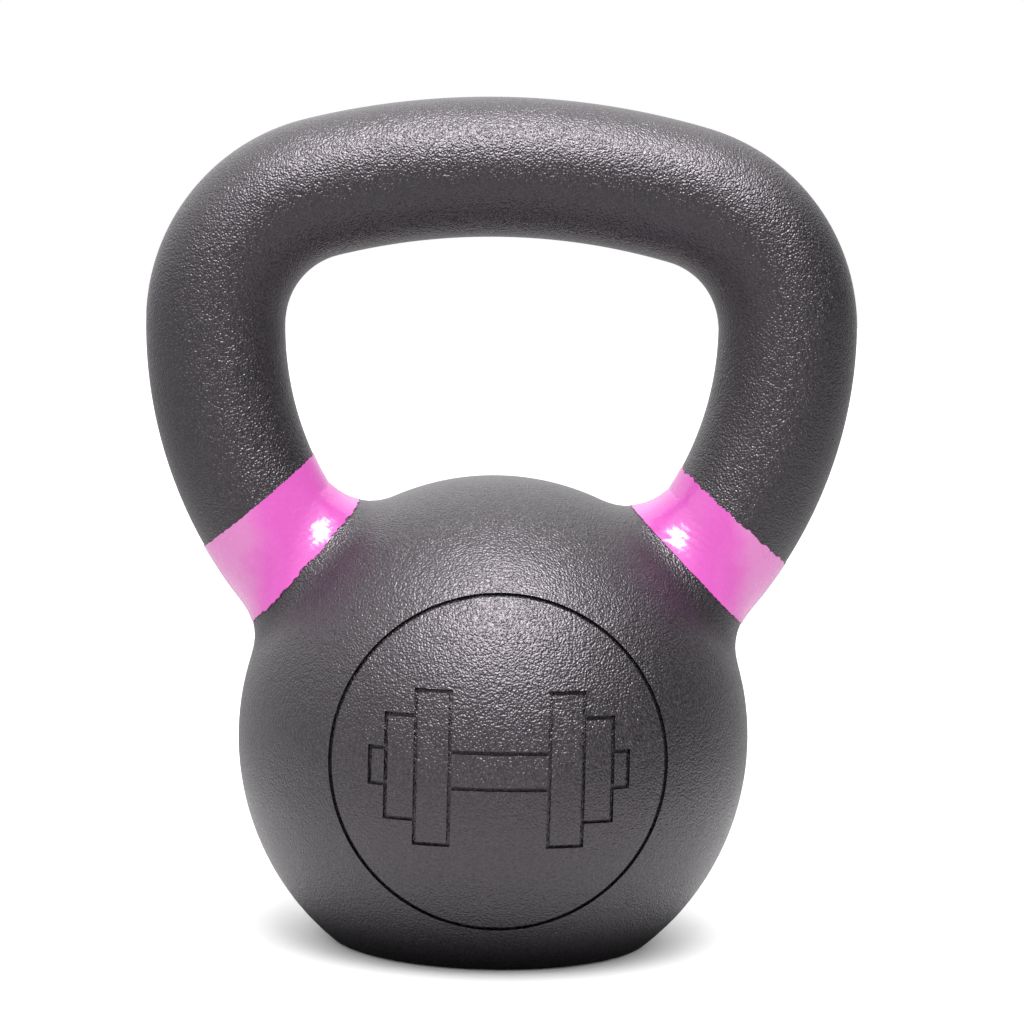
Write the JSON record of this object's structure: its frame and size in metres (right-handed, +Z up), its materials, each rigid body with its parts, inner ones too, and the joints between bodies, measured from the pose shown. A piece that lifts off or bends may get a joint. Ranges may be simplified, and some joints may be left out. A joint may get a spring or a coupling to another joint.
{
  "type": "kettlebell",
  "caption": "Cast-iron kettlebell with a round bell, flat base, wide loop handle, textured black coat and a pink colour band on each horn.",
  "frame": {"origin": "centre of the flat base, on the surface the kettlebell stands on", "axes": "+Z up through the handle, +X along the handle's bar, -Y out of the emblem on the front of the bell"},
  "size_m": [0.1652, 0.1194, 0.1971],
  "materials": {
    "bare_iron": "ground flat, bare",
    "black_coat": "textured powder coat, semi-gloss",
    "pink_enamel": "gloss"
  },
  "bodies": {
    "root": {"iron_casting": "bare_iron", "powder_coat": "black_coat", "left_colour_band": "pink_enamel", "right_colour_band": "pink_enamel"}
  },
  "joints": []
}
